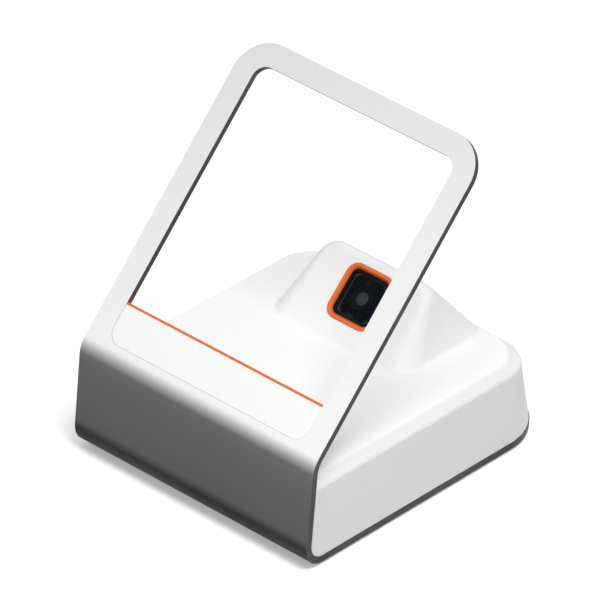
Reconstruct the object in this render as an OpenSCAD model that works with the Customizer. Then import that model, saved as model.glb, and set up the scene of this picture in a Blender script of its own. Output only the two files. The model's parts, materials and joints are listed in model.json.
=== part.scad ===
/* [Metal frame] */
// Width of the bent sheet frame
frame_w = 100; // [90:1:120]
// Thickness of the sheet
sheet_t = 2.5; // [2:0.1:3]
// Length of the base plate from the front wall to its rear edge
base_depth = 130; // [122:1:140]
// Corner radius at the rear of the base plate
base_corner_r = 25; // [12:1:30]
// Height of the front wall up to the corner line of its upper bend
front_h = 39.8; // [38:0.1:50]
// Slope of the ring above the horizontal
ring_angle = 48.9; // [45:0.1:60]
// Length of the sloping ring from the bend's corner line to its top edge
ring_len = 116.2; // [100:0.1:130]
// Width of the ring's two legs
ring_side = 8.15; // [7:0.05:11]
// Width of the ring's top bar
ring_top = 8.15; // [7:0.05:12]
// Distance from the bend's corner line to the ring's opening
ring_bottom = 5.2; // [5:0.1:7]
// Corner radius at the top of the ring
ring_corner_r = 13; // [10:0.5:18]
// Corner radius of the ring's opening
opening_corner_r = 5; // [3:0.5:8]
// Outer radius of the bend between base plate and front wall
low_bend_r = 9; // [7:0.5:11]
// Outer radius of the bend between front wall and ring
top_bend_r = 10; // [7:0.5:11]

/* [Front panel] */
// Distance from the bend's corner line to the top edge of the panel
panel_top = 19.4; // [17:0.1:26]
// Height of the accent strip along the panel's top edge
strip_h = 0.9; // [0.8:0.1:2.5]
// Gap between the panel and the ring's opening
panel_gap = 0.05; // [0.05:0.05:0.4]
// Depth of the panel's face below the ring's face
panel_recess = 0.05; // [0.05:0.05:0.5]
// Thickness of the rear flange of the panel
flange_t = 1.2; // [1:0.1:2]
// Overlap of the rear flange behind the ring's legs
flange_side = 3; // [2:0.5:4]
// Overlap of the rear flange below the ring's opening
flange_bottom = 1; // [0.5:0.1:1.2]
// Thickness of the tape between flange and ring
tape_t = 0.2; // [0.1:0.05:0.3]

/* [Housing] */
// Height of the deck above the underside of the base plate
deck_h = 33.5; // [31:0.5:36]
// Wall thickness of the housing
wall_t = 2.2; // [1.8:0.1:2.6]
// Height of the bevelled band below the deck
band_h = 4.3; // [3:0.1:6]
// Width of the bevelled band in plan, along the sides
band_w = 2.6; // [2:0.1:4]
// Width of the bevelled band in plan, along the rear
rear_band_w = 5.6; // [3:0.1:6]
// Draft of each side wall over its height
side_draft = 0.8; // [0.5:0.1:3]
// Forward lean of the rear wall over its height
rear_lean = 12; // [6:0.1:14]
// Rear corner radius of the housing below the bevelled band
shoulder_r = 16.5; // [14:0.5:22]
// Rear corner radius of the deck
deck_r = 15; // [12:0.5:18]
// Radius of the front vertical edges of the housing
front_edge_r = 1.5; // [0.5:0.1:2]
// Gap between the housing and the frame's front wall
seat_gap = 0.1; // [0.05:0.05:0.3]
// Inset of the housing from the sides of the base plate
side_inset = 0.2; // [0.1:0.1:1]
// Radius of the screw bosses
boss_r = 3; // [2.5:0.1:4]

/* [Scanner head] */
// Distance from the foot line of the head's face to the base plate's rear edge
head_back = 61; // [54:0.5:64]
// Slope of the head's face above the horizontal
head_tilt = 47; // [44:0.5:50]
// Length of the face from its foot line to the start of the rounded ridge
face_len = 27.8; // [27:0.1:30]
// Half width of the head at the deck
head_half_w = 29.5; // [27:0.5:30.5]
// Inward lean of the head's sides for each millimetre of height
head_draft = 0.33; // [0.2:0.01:0.36]
// Radius of the head's ridge and of the upper ends of its upright edges
head_edge_r = 4; // [3.2:0.1:4.2]
// Radius of the head's upright edges at their foot
head_foot_r = 9; // [5:0.5:10]
// Corner radius at the top of the head's face
head_corner_r = 7; // [5:0.5:8]

/* [Scan window] */
// Distance from the centre of the window up to the start of the rounded ridge
window_drop = 10.3; // [10.3:0.1:10.9]
// Half width of the window bezel
bezel_half_w = 9.5; // [9:0.1:10.5]
// Half height of the window bezel
bezel_half_h = 10.15; // [9.5:0.05:10.2]
// Width of the bezel's band
bezel_band = 1.8; // [1.4:0.1:2.2]
// Outer corner radius of the bezel
bezel_r = 4.2; // [3:0.1:5]
// Height of the bezel above the face
bezel_proud = 0.4; // [0.2:0.1:0.6]
// Depth of the bezel's pocket in the face
pocket_d = 1.5; // [1.2:0.1:1.6]
// Gap round the bezel and round the window
window_gap = 0.1; // [0.05:0.05:0.2]
// Width of the ledge that carries the window's gasket
ledge_w = 1.2; // [0.8:0.1:1.5]
// Thickness of the window
window_t = 0.8; // [0.6:0.1:0.9]
// Thickness of the window's gasket
gasket_t = 0.4; // [0.3:0.1:0.5]

/* [Camera engine] */
// Depth of the engine bracket's front face behind the head's face
bracket_depth = 9; // [8.5:0.1:10]
// Thickness of the engine bracket
bracket_t = 1.5; // [1.2:0.1:2]
// Half width of the engine bracket
bracket_half_w = 18.5; // [18:0.5:19]
// Half height of the engine bracket
bracket_half_h = 9.8; // [9.6:0.1:10.2]
// Distance from the window's edge to the outside of the light shroud
shroud_margin = 0.6; // [0.4:0.1:0.8]
// Wall thickness of the light shroud
shroud_t = 0.9; // [0.7:0.1:1.1]
// Thickness of the camera board
camera_board_t = 1; // [0.8:0.1:1.6]
// Half distance between the engine's two screws
engine_screw_x = 14.5; // [14:0.5:15]
// Radius of the bosses that carry the bracket
engine_boss_r = 2.4; // [2:0.1:2.6]
// Radius of the lens barrel
barrel_r = 4; // [3.5:0.1:4.2]
// Half width of the lens holder's square foot
holder_half = 4.6; // [4.4:0.1:4.9]
// Height of the lens holder's square foot
holder_h = 2.4; // [2.2:0.1:3]
// Gap between the lens barrel and the window
barrel_gap = 0.3; // [0.2:0.1:0.5]
// Radius of the front lens
lens_r = 2.4; // [2:0.1:2.8]
// Thickness of the front lens
lens_t = 1.2; // [1:0.1:1.6]
// Half width of the image sensor
sensor_half_w = 3.4; // [3:0.1:3.6]
// Half height of the image sensor
sensor_half_h = 2.8; // [2.4:0.1:3.2]
// Thickness of the image sensor
sensor_t = 1; // [0.8:0.1:1.2]
// Side length of each light
led_w = 2.2; // [1.8:0.1:2.4]
// Thickness of each light
led_t = 0.7; // [0.5:0.1:1]
// Gap between the lights and the inside of the light shroud
led_gap = 0.3; // [0.2:0.1:0.5]
// Distance from the tip of an engine screw to the inside of the head's face
tip_room = 2; // [1.5:0.1:3]

/* [Main board] */
// Distance of the main board from the sides of the base plate
board_side_gap = 20; // [18:0.5:22]
// Distance of the main board from the rear edge of the base plate
board_rear_gap = 10; // [9:0.5:11]
// Length of the main board
board_len = 53; // [52:0.5:54]
// Thickness of the main board
board_t = 1.6; // [1:0.1:2]
// Height of the standoffs below the main board
standoff_h = 5; // [4:0.5:7]
// Radius of the standoffs
standoff_r = 2.6; // [2.2:0.1:3]
// Inset of the standoffs from the main board's edges
standoff_inset = 4; // [3.5:0.5:5]
// Side length of the processor's shield
shield_w = 17; // [14:1:19]
// Height of the processor's shield
shield_h = 2.4; // [1.8:0.1:3]
// Radius of the buzzer
buzzer_r = 5.5; // [4:0.5:6]
// Height of the buzzer
buzzer_h = 4; // [3:0.5:6]
// Distance from the main board's front edge to its flex connector
link_y = 22; // [20:0.5:24]
// Distance of the camera board's flex connector from the board's lower edge
link_inset = 0.6; // [0.4:0.1:1]
// How far the flex cable bows forward of a straight run
flex_bow = 4; // [3:0.5:5]
// Width of the flex cable
flex_w = 10; // [8:0.5:12]
// Thickness of the flex cable
flex_t = 0.3; // [0.2:0.05:0.4]
// Width of the flex cable's connectors
connector_w = 12; // [11:0.5:14]
// Depth of the flex cable's connectors
connector_d = 4; // [3.5:0.1:5]
// Height of the flex cable's connectors
connector_h = 1.2; // [1:0.1:1.5]

/* [Cable port] */
// Length of the socket's metal shell
socket_len = 7.4; // [7:0.1:8]
// Overhang of the socket past the board's rear edge
socket_overhang = 1; // [0.5:0.1:1.5]
// Thickness of the socket's metal shell
socket_t = 0.3; // [0.25:0.05:0.35]
// Width of the port in the housing
port_w = 13; // [12:0.1:15]
// Height of the port in the housing
port_h = 7.2; // [7:0.1:8]

/* [Ballast and feet] */
// Distance of the ballast plate from the sides of the base plate
ballast_side_gap = 15; // [14:0.5:20]
// Gap between the ballast plate and the main board
ballast_gap = 7; // [6:0.5:12]
// Thickness of the ballast plate
ballast_t = 6; // [4:0.5:8]
// Distance from the front wall to the ballast plate
ballast_y = 14; // [13:0.5:16]
// Distance of the ballast plate's screws from the plate's sides
ballast_screw_inset = 13; // [9:0.5:18]
// Depth of the screws' tips below the ballast plate's top
ballast_tip_gap = 0.5; // [0.3:0.1:1]
// Height of the rubber feet below the base plate
foot_h = 1; // [0.8:0.1:2]
// Radius of the rubber feet
foot_r = 6; // [4:0.5:7]
// Inset of the feet from the sides of the base plate
foot_inset = 11; // [10:0.5:16]
// Distance of the front feet from the front wall
foot_front_y = 17; // [16:0.5:20]
// Distance of the rear feet from the base plate's rear edge
foot_rear_inset = 17; // [16:0.5:22]
// How much further in the rear feet are, clear of the plate's rounded corners
rear_foot_shift = 5.5; // [5:0.5:8]

/* [Screws] */
// Radius of every screw's thread
screw_r = 1; // [0.8:0.05:1.2]
// Clearance round a screw in its hole
screw_gap = 0.05; // [0.05:0.05:0.15]
// Radius of every screw's head
screw_head_r = 2; // [1.8:0.1:2.2]
// Height of a pan head
pan_h = 1.2; // [1:0.1:1.5]
// Height of a countersunk head
sunk_h = 1.2; // [1:0.1:1.4]
// Radius of the drive socket in a screw's head
drive_r = 0.8; // [0.6:0.05:0.9]
// Depth of the drive socket
drive_d = 0.6; // [0.4:0.1:0.8]
// Distance of the front housing screws from the front wall
screw_front_y = 31; // [29:0.5:34]
// Distance of the rear housing screws from the base plate's rear edge
screw_rear_inset = 36; // [32:0.5:40]
// Inset of the housing screws from the sides of the base plate
screw_inset = 8.5; // [8:0.5:9]
// Length of the housing screws in the bosses
housing_screw_len = 9; // [6:0.5:14]

/* [Hidden] */
$fn = 64;

// Overshoot of every cutting shape past the face it cuts
over = 0.5;
// Thickness of the slices that the housing's walls run between
slice = 0.01;
// Offset of each bend's arcs, by which they cross the flat faces at a clear angle
bend_lap = 0.005;
// Facets round each ball of the head
ball_fn = 40;
// Size of the socket's metal shell, which its standard fixes
socket_w = 8.94;
socket_h = 3.26;
// Share of a standoff's height that the screw at each end fills
screw_share = 0.45;

plate_z = foot_h;
plate_top = plate_z + sheet_t;
deck_z = plate_z + deck_h;
ring_z = plate_z + front_h;
bend_turn = 90 - ring_angle;
bend_reach = top_bend_r * tan(bend_turn / 2);
wall_top = ring_z - bend_reach;
opening_half_w = frame_w / 2 - ring_side;
opening_top = ring_len - ring_top;
strip_bottom = panel_top - strip_h;

body_y = sheet_t + seat_gap;
body_half_w = frame_w / 2 - side_inset;
body_rear = base_depth - side_inset;
shoulder_z = deck_z - band_h;
shoulder_half_w = body_half_w - side_draft;
shoulder_rear = body_rear - rear_lean;
deck_half_w = shoulder_half_w - band_w;
deck_rear = shoulder_rear - rear_band_w;
boss_x = frame_w / 2 - screw_inset;
screw_rear_y = base_depth - screw_rear_inset;
head_y = base_depth - head_back;

window_s = face_len - window_drop;
window_half_w = bezel_half_w - bezel_band - window_gap;
window_half_h = bezel_half_h - bezel_band - window_gap;
window_r = bezel_r - bezel_band - window_gap;
shroud_half_w = window_half_w + shroud_margin;
shroud_half_h = window_half_h + shroud_margin;
bracket_back = bracket_depth + bracket_t;
camera_back = bracket_back + camera_board_t;
window_back = pocket_d - gasket_t;
barrel_len = bracket_back - window_back - barrel_gap;
led_x = shroud_half_w - shroud_t - led_w / 2 - led_gap;
led_s = shroud_half_h - shroud_t - led_w / 2 - led_gap;

board_z = plate_top + standoff_h;
board_top = board_z + board_t;
board_rear = base_depth - board_rear_gap;
board_y = board_rear - board_len;
board_w = frame_w - 2 * board_side_gap;
standoff_x = board_w / 2 - standoff_inset;
port_z = board_top + socket_h / 2;
socket_y = board_rear + socket_overhang - socket_len;
hole_r = screw_r + screw_gap;
ballast_w = frame_w - 2 * ballast_side_gap;
ballast_len = board_y - ballast_gap - ballast_y;
ballast_screw_x = ballast_w / 2 - ballast_screw_inset;

// Places of the flex cable's two connectors: up the head's face, and behind the front wall
camera_link_s = window_s - bracket_half_h + connector_d / 2 + link_inset;
main_link_y = board_y + link_y;

// A point of the head's face plane, s up its slope and w out of it, as [y, z]
function face_pt(s, w) = [head_y + s * cos(head_tilt) - w * sin(head_tilt),
    deck_z + s * sin(head_tilt) + w * cos(head_tilt)];
// Half width of the head at a height, for the centre of a ball of radius r inside its side
function ball_x(z, r) = head_half_w - head_draft * (z - deck_z) - r * sqrt(1 + head_draft * head_draft);

// Moves a shape from the front wall's frame, y counted from the wall's face, to the part's frame
module placed() {
    translate([0, -base_depth / 2, 0]) children();
}

// Lays a shape on the ring's front face, y up the slope and z out of it
module on_ring() {
    translate([0, 0, ring_z]) rotate([ring_angle, 0, 0]) children();
}

// Lays a shape on the head's face, y up the slope from the foot line and z out of it
module on_face() {
    translate([0, head_y, deck_z]) rotate([head_tilt, 0, 0]) children();
}

// Extrudes an outline drawn in y and z along x, over a half width each way
module along_x(half_w) {
    translate([-half_w, 0, 0]) rotate([90, 0, 90]) linear_extrude(2 * half_w) children();
}

// Two copies, mirrored left and right
module both_sides() {
    children();
    mirror([1, 0, 0]) children();
}

// A rectangle between two corners with rounded corners
module rounded_rect(x0, y0, x1, y1, r) {
    translate([x0 + r, y0]) square([x1 - x0 - 2 * r, y1 - y0]);
    translate([x0, y0 + r]) square([x1 - x0, y1 - y0 - 2 * r]);
    for (x = [x0 + r, x1 - r], y = [y0 + r, y1 - r]) translate([x, y]) circle(r);
}

// A rounded rectangle about the centre
module centred_rect(half_w, half_h, r) {
    rounded_rect(-half_w, -half_h, half_w, half_h, r);
}

// A rounded rectangular ring about the centre, extruded between two heights
module rect_tube(half_w, half_h, r, band, z0, z1) {
    translate([0, 0, z0]) linear_extrude(z1 - z0) difference() {
        centred_rect(half_w, half_h, r);
        centred_rect(half_w - band, half_h - band, max(r - band, 0.3));
    }
}

// An upright bar of rectangular plan about the centre
module block(half_w, half_h, z0, z1) {
    translate([-half_w, -half_h, z0]) cube([2 * half_w, 2 * half_h, z1 - z0]);
}

// The kite between a bend's two end lines and the tangents at a radius
module bend_kite(r, from, to) {
    half = (to - from) / 2;
    polygon([[0, 0], r * [cos(from), sin(from)],
        r / cos(half) * [cos(from + half), sin(from + half)], r * [cos(to), sin(to)]]);
}

// What a bend adds behind the mitred corner of the sheet
module bend_fill(outer_r, from, to) {
    difference() {
        bend_kite(outer_r - sheet_t / 2, from, to);
        circle(outer_r - sheet_t + bend_lap);
    }
}

// What a bend takes off the mitred corner of the sheet
module bend_cut(outer_r, from, to) {
    difference() {
        bend_kite(outer_r + over, from, to);
        circle(outer_r + bend_lap);
    }
}

// A screw along +z with its head's top at z = 0 and its thread below
module pan_screw(length) {
    difference() {
        translate([0, 0, -pan_h]) cylinder(h = pan_h, r = screw_head_r);
        translate([0, 0, -drive_d]) cylinder(h = drive_d + over, r = drive_r, $fn = 6);
    }
    translate([0, 0, -pan_h - length]) cylinder(h = length, r = screw_r);
}

// A countersunk screw along +z with its head's top at z = 0
module sunk_screw(length) {
    difference() {
        translate([0, 0, -sunk_h]) cylinder(h = sunk_h, r1 = screw_r, r2 = screw_head_r);
        translate([0, 0, -drive_d]) cylinder(h = drive_d + over, r = drive_r, $fn = 6);
    }
    translate([0, 0, -length]) cylinder(h = length - sunk_h, r = screw_r);
}

// The hole of a countersunk screw through the base plate, seen from below
module sunk_hole() {
    head_r = screw_head_r + screw_gap;
    translate([0, 0, plate_z]) cylinder(h = sunk_h, r1 = head_r, r2 = hole_r);
    translate([0, 0, plate_z - over]) cylinder(h = sheet_t + 2 * over, r = hole_r);
    translate([0, 0, plate_z - over]) cylinder(h = over, r = head_r);
}

// The places of the four screws that hold the housing
module at_housing_screws() {
    both_sides() for (y = [screw_front_y, screw_rear_y]) translate([boss_x, y, 0]) children();
}

// The places of the ballast plate's two screws
module at_ballast_screws() {
    both_sides() translate([ballast_screw_x, ballast_y + ballast_len / 2, 0]) children();
}

// The places of the main board's four standoffs
module at_standoffs() {
    both_sides() for (y = [board_y + standoff_inset, board_rear - standoff_inset])
        translate([standoff_x, y, 0]) children();
}

// The side view of the bent sheet: base plate, lower bend, front wall, upper bend and ring
module frame_profile() {
    difference() {
        union() {
            translate([0, plate_z]) square([base_depth, sheet_t]);
            translate([0, plate_z]) square([sheet_t, ring_z - plate_z]);
            translate([0, ring_z]) rotate(ring_angle) translate([0, -sheet_t])
                square([ring_len, sheet_t]);
            translate([low_bend_r, plate_z + low_bend_r]) bend_fill(low_bend_r, 180, 270);
            translate([top_bend_r, wall_top]) bend_fill(top_bend_r, 180 - bend_turn, 180);
        }
        translate([low_bend_r, plate_z + low_bend_r]) bend_cut(low_bend_r, 180, 270);
        translate([top_bend_r, wall_top]) bend_cut(top_bend_r, 180 - bend_turn, 180);
    }
}

// The base plate's outline seen from above, as the part that is kept
module base_outline() {
    translate([-frame_w / 2 - over, -over])
        square([frame_w + 2 * over, base_depth - base_corner_r + over]);
    translate([-frame_w / 2 + base_corner_r, 0])
        square([frame_w - 2 * base_corner_r, base_depth + over]);
    for (side = [-1, 1]) translate([side * (frame_w / 2 - base_corner_r), base_depth - base_corner_r])
        circle(base_corner_r);
}

// The corner that is cut away at the upper right of the ring
module ring_corner_cut() {
    difference() {
        translate([frame_w / 2 - ring_corner_r, ring_len - ring_corner_r])
            square(ring_corner_r + over);
        translate([frame_w / 2 - ring_corner_r, ring_len - ring_corner_r]) circle(ring_corner_r);
    }
}

module metal_frame() {
    color("gainsboro") placed() difference() {
        along_x(frame_w / 2) frame_profile();
        // Rounded rear corners of the base plate
        translate([0, 0, plate_z - over]) linear_extrude(sheet_t + 2 * over) difference() {
            translate([-frame_w, base_depth - base_corner_r])
                square([2 * frame_w, base_corner_r + over]);
            base_outline();
        }
        // Opening and rounded top corners of the ring
        on_ring() translate([0, 0, -sheet_t - over]) linear_extrude(sheet_t + 2 * over) {
            rounded_rect(-opening_half_w, ring_bottom, opening_half_w, opening_top, opening_corner_r);
            both_sides() ring_corner_cut();
        }
        at_housing_screws() sunk_hole();
        at_ballast_screws() sunk_hole();
        at_standoffs() sunk_hole();
    }
}

// Outline of the panel's rear flange, also the outside of the tape
module flange_outline() {
    translate([-opening_half_w - flange_side, ring_bottom - flange_bottom])
        square([2 * (opening_half_w + flange_side), panel_top - ring_bottom + flange_bottom]);
}

// Outline of the panel inside the ring's opening, up to a given height
module inlay_outline(top) {
    intersection() {
        rounded_rect(-opening_half_w + panel_gap, ring_bottom + panel_gap, opening_half_w - panel_gap,
            opening_top, opening_corner_r - panel_gap);
        translate([-frame_w / 2, 0]) square([frame_w, top]);
    }
}

module front_panel() {
    flange_top = -sheet_t - tape_t;
    color("white") placed() on_ring() {
        translate([0, 0, flange_top]) linear_extrude(-flange_top - panel_recess)
            inlay_outline(strip_bottom);
        translate([0, 0, flange_top - flange_t]) linear_extrude(flange_t) flange_outline();
    }
}

module accent_strip() {
    base = -sheet_t - tape_t;
    color("orangered") placed() on_ring() translate([0, 0, base])
        linear_extrude(-base - panel_recess) difference() {
            inlay_outline(panel_top);
            translate([-frame_w / 2, 0]) square([frame_w, strip_bottom]);
        }
}

module panel_tape() {
    color("dimgray") placed() on_ring() translate([0, 0, -sheet_t - tape_t]) linear_extrude(tape_t)
        difference() {
            flange_outline();
            rounded_rect(-opening_half_w, ring_bottom, opening_half_w, opening_top, opening_corner_r);
        }
}

// Plan of the housing: straight front, rounded rear corners
module body_plan(half_w, front, rear, r) {
    translate([-half_w, front + front_edge_r]) square([2 * half_w, rear - r - front - front_edge_r]);
    translate([-half_w + front_edge_r, front]) square([2 * (half_w - front_edge_r), rear - r - front]);
    translate([-half_w + r, front]) square([2 * (half_w - r), rear - front]);
    for (side = [-1, 1]) {
        translate([side * (half_w - r), rear - r]) circle(r);
        translate([side * (half_w - front_edge_r), front + front_edge_r]) circle(front_edge_r);
    }
}

// The drafted body, shrunk inwards by an inset
module body_form(inset, bottom) {
    hull() {
        translate([0, 0, bottom]) linear_extrude(slice)
            body_plan(body_half_w - inset, body_y + inset, body_rear - inset, base_corner_r - inset);
        translate([0, 0, shoulder_z - inset]) linear_extrude(slice)
            body_plan(shoulder_half_w - inset, body_y + inset, shoulder_rear - inset,
                shoulder_r - inset);
        translate([0, 0, deck_z - slice - inset]) linear_extrude(slice)
            body_plan(deck_half_w - inset, body_y + inset, deck_rear - inset, deck_r - inset);
    }
}

// One ball of the head's form
module head_ball(x, yz, r) {
    translate([x, yz[0], yz[1]]) sphere(r, $fn = ball_fn);
}

// The head: a sloping face, leaning sides and a rear slope down to the deck's rear edge
module head_form(inset) {
    corner = head_corner_r - head_edge_r;
    ball_r = head_edge_r - inset;
    foot = face_pt(-head_edge_r, -head_foot_r);
    top = face_pt(face_len, -head_edge_r);
    rise = top[1] - deck_z;
    run = deck_rear - top[0];
    rear_tilt = atan2(rise, run) + asin(head_edge_r / norm([rise, run]));
    rear = [deck_rear, deck_z] - head_edge_r * [sin(rear_tilt), cos(rear_tilt)];
    hull() both_sides() {
        head_ball(ball_x(foot[1], head_foot_r), foot, head_foot_r - inset);
        head_ball(ball_x(rear[1], head_edge_r), rear, ball_r);
        for (turn = [0 : 30 : 90])
            head_ball(ball_x(top[1], head_edge_r) - corner * (1 - cos(turn)),
                face_pt(face_len - corner * (1 - sin(turn)), -head_edge_r), ball_r);
    }
}

// The rounding of the housing's lower front edge, which follows the sheet's lower bend
module low_edge_cut() {
    inner_r = low_bend_r - sheet_t;
    along_x(frame_w / 2) difference() {
        translate([0, plate_top - over]) square([low_bend_r, inner_r + over]);
        translate([low_bend_r, plate_z + low_bend_r]) circle(inner_r - seat_gap);
    }
}

// The lower front edge of the cavity, one wall inside the outer rounding
module low_edge_fill() {
    inner_r = low_bend_r - sheet_t - seat_gap - wall_t;
    along_x(body_half_w - wall_t / 2) difference() {
        translate([body_y, plate_top]) square([low_bend_r - body_y, low_bend_r - sheet_t]);
        translate([low_bend_r, plate_z + low_bend_r]) circle(inner_r);
    }
}

// Bosses for the housing screws, from the base plate up into the deck
module housing_bosses() {
    boss_h = deck_z - wall_t / 2 - plate_top;
    at_housing_screws() translate([0, 0, plate_top]) cylinder(h = boss_h, r = boss_r);
}

// Bosses behind the head's face, which carry the camera engine
module engine_bosses() {
    on_face() both_sides() translate([engine_screw_x, window_s, -bracket_depth])
        cylinder(h = bracket_depth - wall_t / 2, r = engine_boss_r);
}

module housing() {
    pilot = housing_screw_len + over;
    color("whitesmoke") placed() difference() {
        union() {
            difference() {
                union() {
                    body_form(0, plate_top);
                    head_form(0);
                }
                body_form(wall_t, plate_top - over);
                head_form(wall_t);
            }
            low_edge_fill();
            housing_bosses();
            engine_bosses();
        }
        low_edge_cut();
        // Pocket of the bezel, and the opening inside the gasket's ledge
        on_face() translate([0, window_s, 0]) {
            translate([0, 0, -pocket_d]) linear_extrude(pocket_d + over)
                centred_rect(bezel_half_w + window_gap, bezel_half_h + window_gap, bezel_r + window_gap);
            translate([0, 0, -wall_t - over]) linear_extrude(wall_t + 2 * over)
                centred_rect(window_half_w - ledge_w, window_half_h - ledge_w, window_r);
        }
        on_face() both_sides() translate([engine_screw_x, window_s, -bracket_depth - over])
            cylinder(h = bracket_depth - wall_t, r = hole_r);
        at_housing_screws() translate([0, 0, plate_top - over]) cylinder(h = pilot + over, r = hole_r);
        // Port for the cable's plug
        translate([0, board_rear, port_z]) rotate([-90, 0, 0]) linear_extrude(board_rear_gap + over)
            centred_rect(port_w / 2, port_h / 2, port_h / 2 - over);
    }
}

module window_bezel() {
    color("orangered") placed() on_face() translate([0, window_s, 0])
        rect_tube(bezel_half_w, bezel_half_h, bezel_r, bezel_band, -pocket_d, bezel_proud);
}

module window_gasket() {
    color("black") placed() on_face() translate([0, window_s, 0])
        rect_tube(window_half_w, window_half_h, window_r, ledge_w, -pocket_d, -window_back);
}

module scan_window() {
    color([0.05, 0.05, 0.09, 0.6]) placed() on_face() translate([0, window_s, -window_back])
        linear_extrude(window_t) centred_rect(window_half_w, window_half_h, window_r);
}

module light_shroud() {
    color("black") placed() on_face() translate([0, window_s, 0])
        rect_tube(shroud_half_w, shroud_half_h, window_r, shroud_t, -bracket_depth,
            -wall_t - window_gap);
}

// The screw holes of the bracket and of the camera board
module engine_holes() {
    both_sides() translate([engine_screw_x, 0, -camera_back - over])
        cylinder(h = bracket_t + camera_board_t + 2 * over, r = hole_r);
}

module engine_bracket() {
    open_w = shroud_half_w - shroud_t;
    open_h = shroud_half_h - shroud_t;
    color("dimgray") placed() on_face() translate([0, window_s, 0]) difference() {
        block(bracket_half_w, bracket_half_h, -bracket_back, -bracket_depth);
        block(open_w, open_h, -bracket_back - over, -bracket_depth + over);
        engine_holes();
    }
}

module camera_board() {
    color("darkgreen") placed() on_face() translate([0, window_s, 0]) difference() {
        block(bracket_half_w, bracket_half_h, -camera_back, -bracket_back);
        engine_holes();
    }
}

module image_sensor() {
    color("darkslategray") placed() on_face() translate([0, window_s, 0])
        block(sensor_half_w, sensor_half_h, -bracket_back, -bracket_back + sensor_t);
}

module lens_barrel() {
    // Room round the sensor, and the step of the lens's seat
    room = 0.2;
    color("black") placed() on_face() translate([0, window_s, -bracket_back]) difference() {
        union() {
            block(holder_half, holder_half, 0, holder_h);
            cylinder(h = barrel_len, r = barrel_r);
        }
        block(sensor_half_w + room, sensor_half_h + room, -over, sensor_t + room);
        cylinder(h = barrel_len - lens_t, r = lens_r - room);
        translate([0, 0, barrel_len - lens_t]) cylinder(h = lens_t + over, r = lens_r);
    }
}

module front_lens() {
    // Radius of the lens's curved face
    dome = lens_r * 2;
    color("slategray") placed() on_face() translate([0, window_s, -bracket_back + barrel_len - lens_t])
        intersection() {
            cylinder(h = lens_t, r = lens_r);
            translate([0, 0, lens_t - dome]) sphere(dome);
        }
}

module illumination_lights() {
    color("lightyellow") placed() on_face() translate([0, window_s, 0])
        for (x = [-led_x, led_x], s = [-led_s, led_s]) translate([x, s, 0])
            block(led_w / 2, led_w / 2, -bracket_back, -bracket_back + led_t);
}

module engine_screws() {
    length = bracket_back + camera_board_t - wall_t - tip_room;
    color("silver") placed() on_face() both_sides()
        translate([engine_screw_x, window_s, -camera_back - pan_h]) mirror([0, 0, 1])
            pan_screw(length);
}

// The two connectors: one under the camera board, one on the main board
module flex_connectors() {
    half_w = connector_w / 2;
    half_d = connector_d / 2;
    color("ivory") placed() {
        on_face() translate([0, camera_link_s, 0])
            block(half_w, half_d, -camera_back - connector_h, -camera_back);
        translate([0, main_link_y, 0]) block(half_w, half_d, board_top, board_top + connector_h);
    }
}

// A strip of the cable between two points of its side view
module flex_run(a, b) {
    run = b - a;
    translate(a) rotate(atan2(run[1], run[0])) translate([0, -flex_t / 2]) square([norm(run), flex_t]);
}

module flex_cable() {
    start = face_pt(camera_link_s, -camera_back - connector_h - flex_t / 2);
    finish = [main_link_y, board_top + connector_h + flex_t / 2];
    middle = (start + finish) / 2 - [flex_bow, 0];
    route = [for (k = [0 : 8]) let (t = k / 8)
        (1 - t) * (1 - t) * start + 2 * t * (1 - t) * middle + t * t * finish];
    color("darkorange") placed() along_x(flex_w / 2) {
        for (k = [0 : 7]) flex_run(route[k], route[k + 1]);
        for (k = [1 : 7]) translate(route[k]) circle(flex_t / 2, $fn = 16);
    }
}

module main_board() {
    color("darkgreen") placed() difference() {
        translate([-board_w / 2, board_y, board_z]) cube([board_w, board_len, board_t]);
        at_standoffs() translate([0, 0, board_z - over]) cylinder(h = board_t + 2 * over, r = hole_r);
    }
}

module processor_shield() {
    color("silver") placed()
        translate([-board_w / 4 - shield_w / 2, main_link_y + connector_d, board_top])
            cube([shield_w, shield_w, shield_h]);
}

// Capacitors and a coil of the power supply, in a row beside the socket
module power_parts() {
    part_w = 3;
    pitch = 5;
    color("saddlebrown") placed() translate([socket_w, board_rear - 2 * pitch, board_top]) {
        for (k = [0 : 1]) translate([k * pitch, 0, 0]) cylinder(h = part_w, r = part_w / 2);
        translate([-part_w / 2, -2 * pitch, 0]) cube([pitch, pitch, part_w]);
    }
}

module buzzer() {
    // Radius and depth of the sound hole
    hole = 1;
    color("black") placed() translate([board_w / 4, board_y + board_len / 2, board_top]) difference() {
        cylinder(h = buzzer_h, r = buzzer_r);
        translate([0, 0, buzzer_h - hole]) cylinder(h = hole + over, r = hole);
    }
}

module usb_socket() {
    round_r = socket_h / 2 - seat_gap;
    tongue_t = 0.7;
    tongue_w = 6.7;
    // Thickness of the closed rear end, and depth of the tongue behind the mouth
    back_t = 1.5;
    tongue_set = 1;
    color("silver") placed() translate([0, socket_y, port_z]) rotate([-90, 0, 0]) {
        rect_tube(socket_w / 2, socket_h / 2, round_r, socket_t, 0, socket_len);
        linear_extrude(back_t) centred_rect(socket_w / 2, socket_h / 2, round_r);
        block(tongue_w / 2, tongue_t / 2, back_t / 2, socket_len - tongue_set);
    }
}

module board_standoffs() {
    color("goldenrod") placed() at_standoffs() translate([0, 0, plate_top]) difference() {
        cylinder(h = standoff_h, r = standoff_r);
        translate([0, 0, -over]) cylinder(h = standoff_h + 2 * over, r = hole_r);
    }
}

// Pan screws from above for the board, countersunk screws from below for the standoffs
module board_screws() {
    grip = standoff_h * screw_share;
    color("silver") placed() at_standoffs() {
        translate([0, 0, board_top + pan_h]) pan_screw(board_t + grip);
        translate([0, 0, plate_z]) mirror([0, 0, 1]) sunk_screw(sheet_t + grip);
    }
}

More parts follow.
